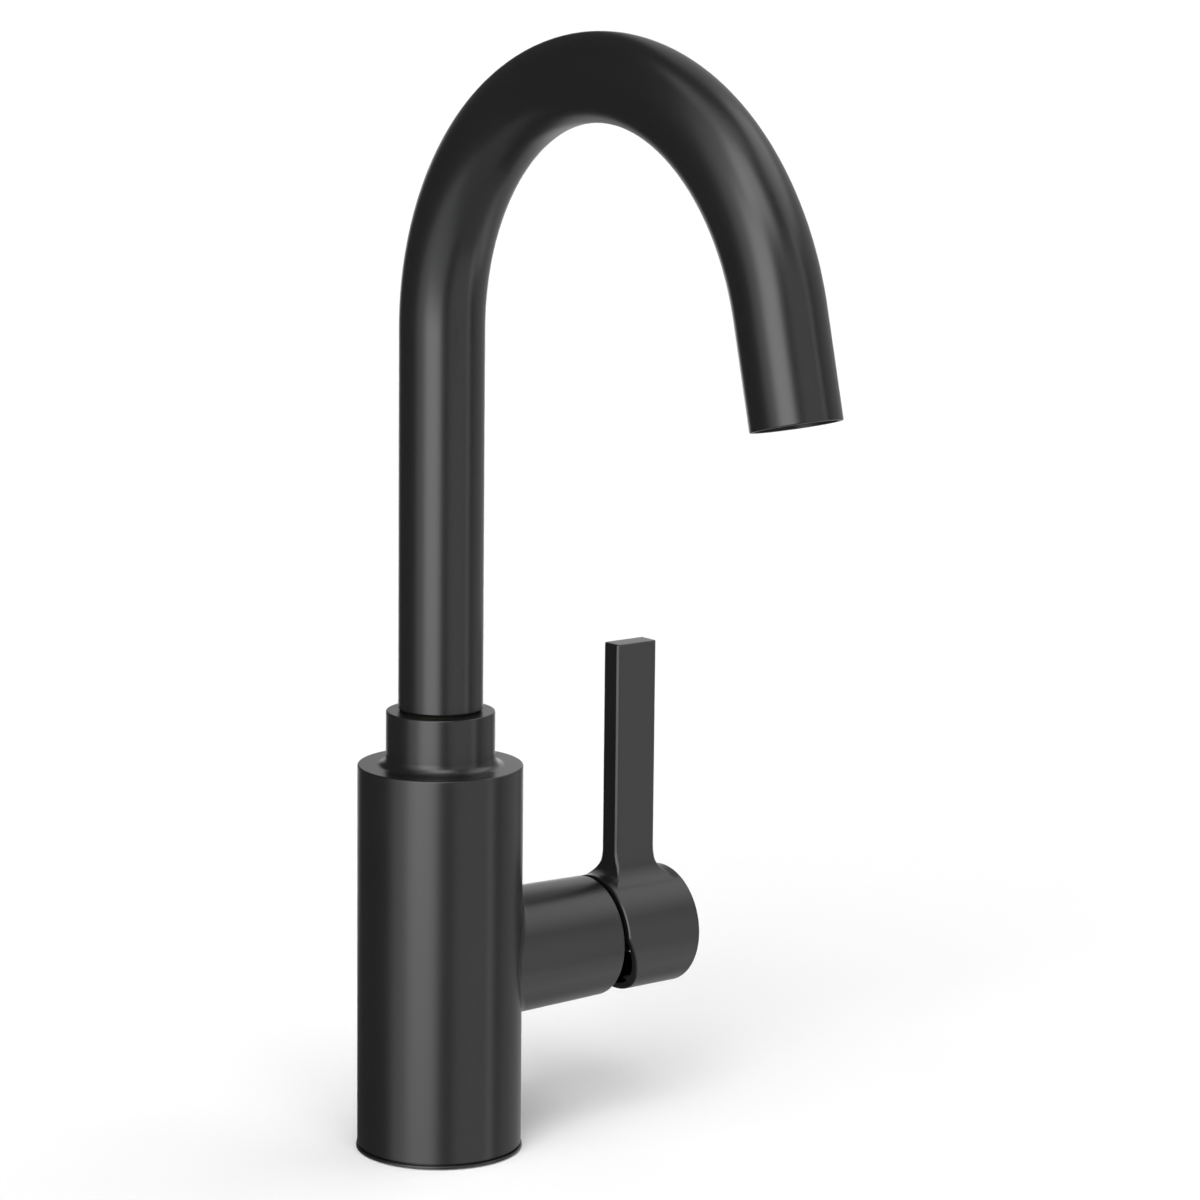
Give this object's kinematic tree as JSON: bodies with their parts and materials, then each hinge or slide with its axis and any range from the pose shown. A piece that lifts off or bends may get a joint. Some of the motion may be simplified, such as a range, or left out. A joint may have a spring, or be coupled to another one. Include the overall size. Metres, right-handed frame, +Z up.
{
  "type": "gooseneck bar faucet",
  "caption": "Single-hole gooseneck bar faucet in matte black: round body, swivelling high-arc spout and a side lever on a horizontal stub valve.",
  "frame": {"origin": "on the deck plane, on the vertical axis of the body and of the stud hole", "axes": "+Z up along the body and the spout's straight stretch; the spout reaches towards -Y at rest; the valve's axis and the handle point to +X"},
  "size_m": [0.1116, 0.1974, 0.3396],
  "materials": {
    "coating": "matte black powder coat with a fine grain",
    "brass": "machined and cast brass, uncoated",
    "steel": "stainless steel, turned",
    "rubber": "black seal rubber",
    "glide_plastic": "black acetal",
    "dark_metal": "black-plated brass",
    "dark_plastic": "dark grey moulded plastic",
    "pale_plastic": "pale moulded plastic",
    "blue_plastic": "blue moulded plastic",
    "red_plastic": "red moulded plastic",
    "ceramic": "lapped alumina ceramic"
  },
  "bodies": {
    "root": {"base_ring": "coating", "base_gasket": "rubber", "base_plate": "brass", "plate_screws": "steel", "plate_seals": "rubber", "body_shell": "coating", "valve_body": "brass", "retaining_clip": "steel", "glide_washer": "glide_plastic", "cartridge_base": "pale_plastic", "port_seals": "rubber", "fixed_disc": "ceramic", "cartridge_housing": "dark_plastic", "temperature_stop": "red_plastic", "bonnet_nut": "coating"},
    "spout": {"spout_tube": "coating", "spout_shank": "brass", "spout_orings": "rubber", "outlet_adapter": "dark_metal", "aerator_gasket": "rubber", "flow_regulator": "blue_plastic", "aerator_straightener": "dark_plastic", "aerator_housing": "dark_plastic"},
    "rotor": {"stem_carrier": "dark_plastic", "stem_pin": "steel"},
    "disc": {"moving_disc": "ceramic", "disc_driver": "pale_plastic"},
    "lever": {"stem": "brass", "handle": "coating", "handle_screw": "steel"}
  },
  "joints": [
    {"name": "spout_swivel", "type": "hinge", "parent": "root", "child": "spout", "pos_m": [0, 0, 0.1348], "axis": [0, 0, 1], "continuous": true},
    {"name": "temperature", "type": "hinge", "parent": "root", "child": "rotor", "pos_m": [0.044, 0, 0.0568], "axis": [1, 0, 0], "range_deg": [-45, 45]},
    {"name": "flow", "type": "hinge", "parent": "rotor", "child": "lever", "pos_m": [0.044, 0, 0.0568], "axis": [0, 1, 0], "range_deg": [0, 20]},
    {"name": "disc_slide", "type": "slide", "parent": "rotor", "child": "disc", "axis": [0, 0, 1], "range_m": [0, 0.0049]}
  ],
  "couplings": [
    {"joint": "disc_slide", "follows": "flow", "m_per_rad": 0.014}
  ]
}
